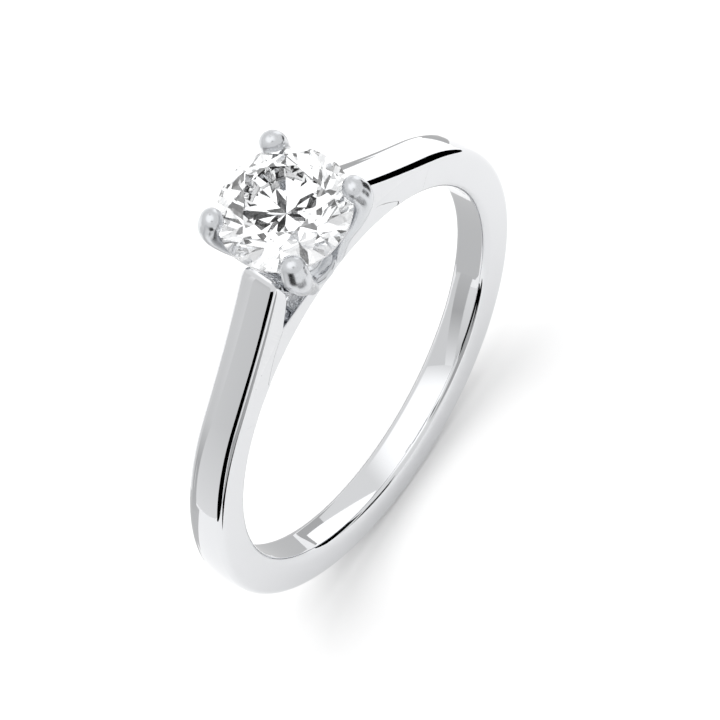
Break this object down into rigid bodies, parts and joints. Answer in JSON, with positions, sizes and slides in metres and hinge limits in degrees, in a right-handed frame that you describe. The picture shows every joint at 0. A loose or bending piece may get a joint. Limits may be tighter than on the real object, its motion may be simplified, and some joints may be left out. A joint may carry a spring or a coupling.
{
  "type": "engagement ring",
  "caption": "Slim polished platinum solitaire ring with cathedral shoulders rising to an open claw head that holds a round brilliant diamond.",
  "frame": {"origin": "centre of the finger hole, half way across the band", "axes": "+Z out through the stone, Y along the finger's axis, X from shoulder to shoulder"},
  "size_m": [0.0206, 0.0056, 0.0253],
  "materials": {
    "platinum": "high polish",
    "diamond": "polished facets"
  },
  "bodies": {
    "root": {"shank": "platinum", "shoulder_left": "platinum", "shoulder_right": "platinum", "bridge": "platinum", "base_rail": "platinum", "gallery_left": "platinum", "gallery_right": "platinum", "claw_front_left": "platinum", "claw_front_right": "platinum", "claw_back_left": "platinum", "claw_back_right": "platinum", "diamond": "diamond"}
  },
  "joints": []
}
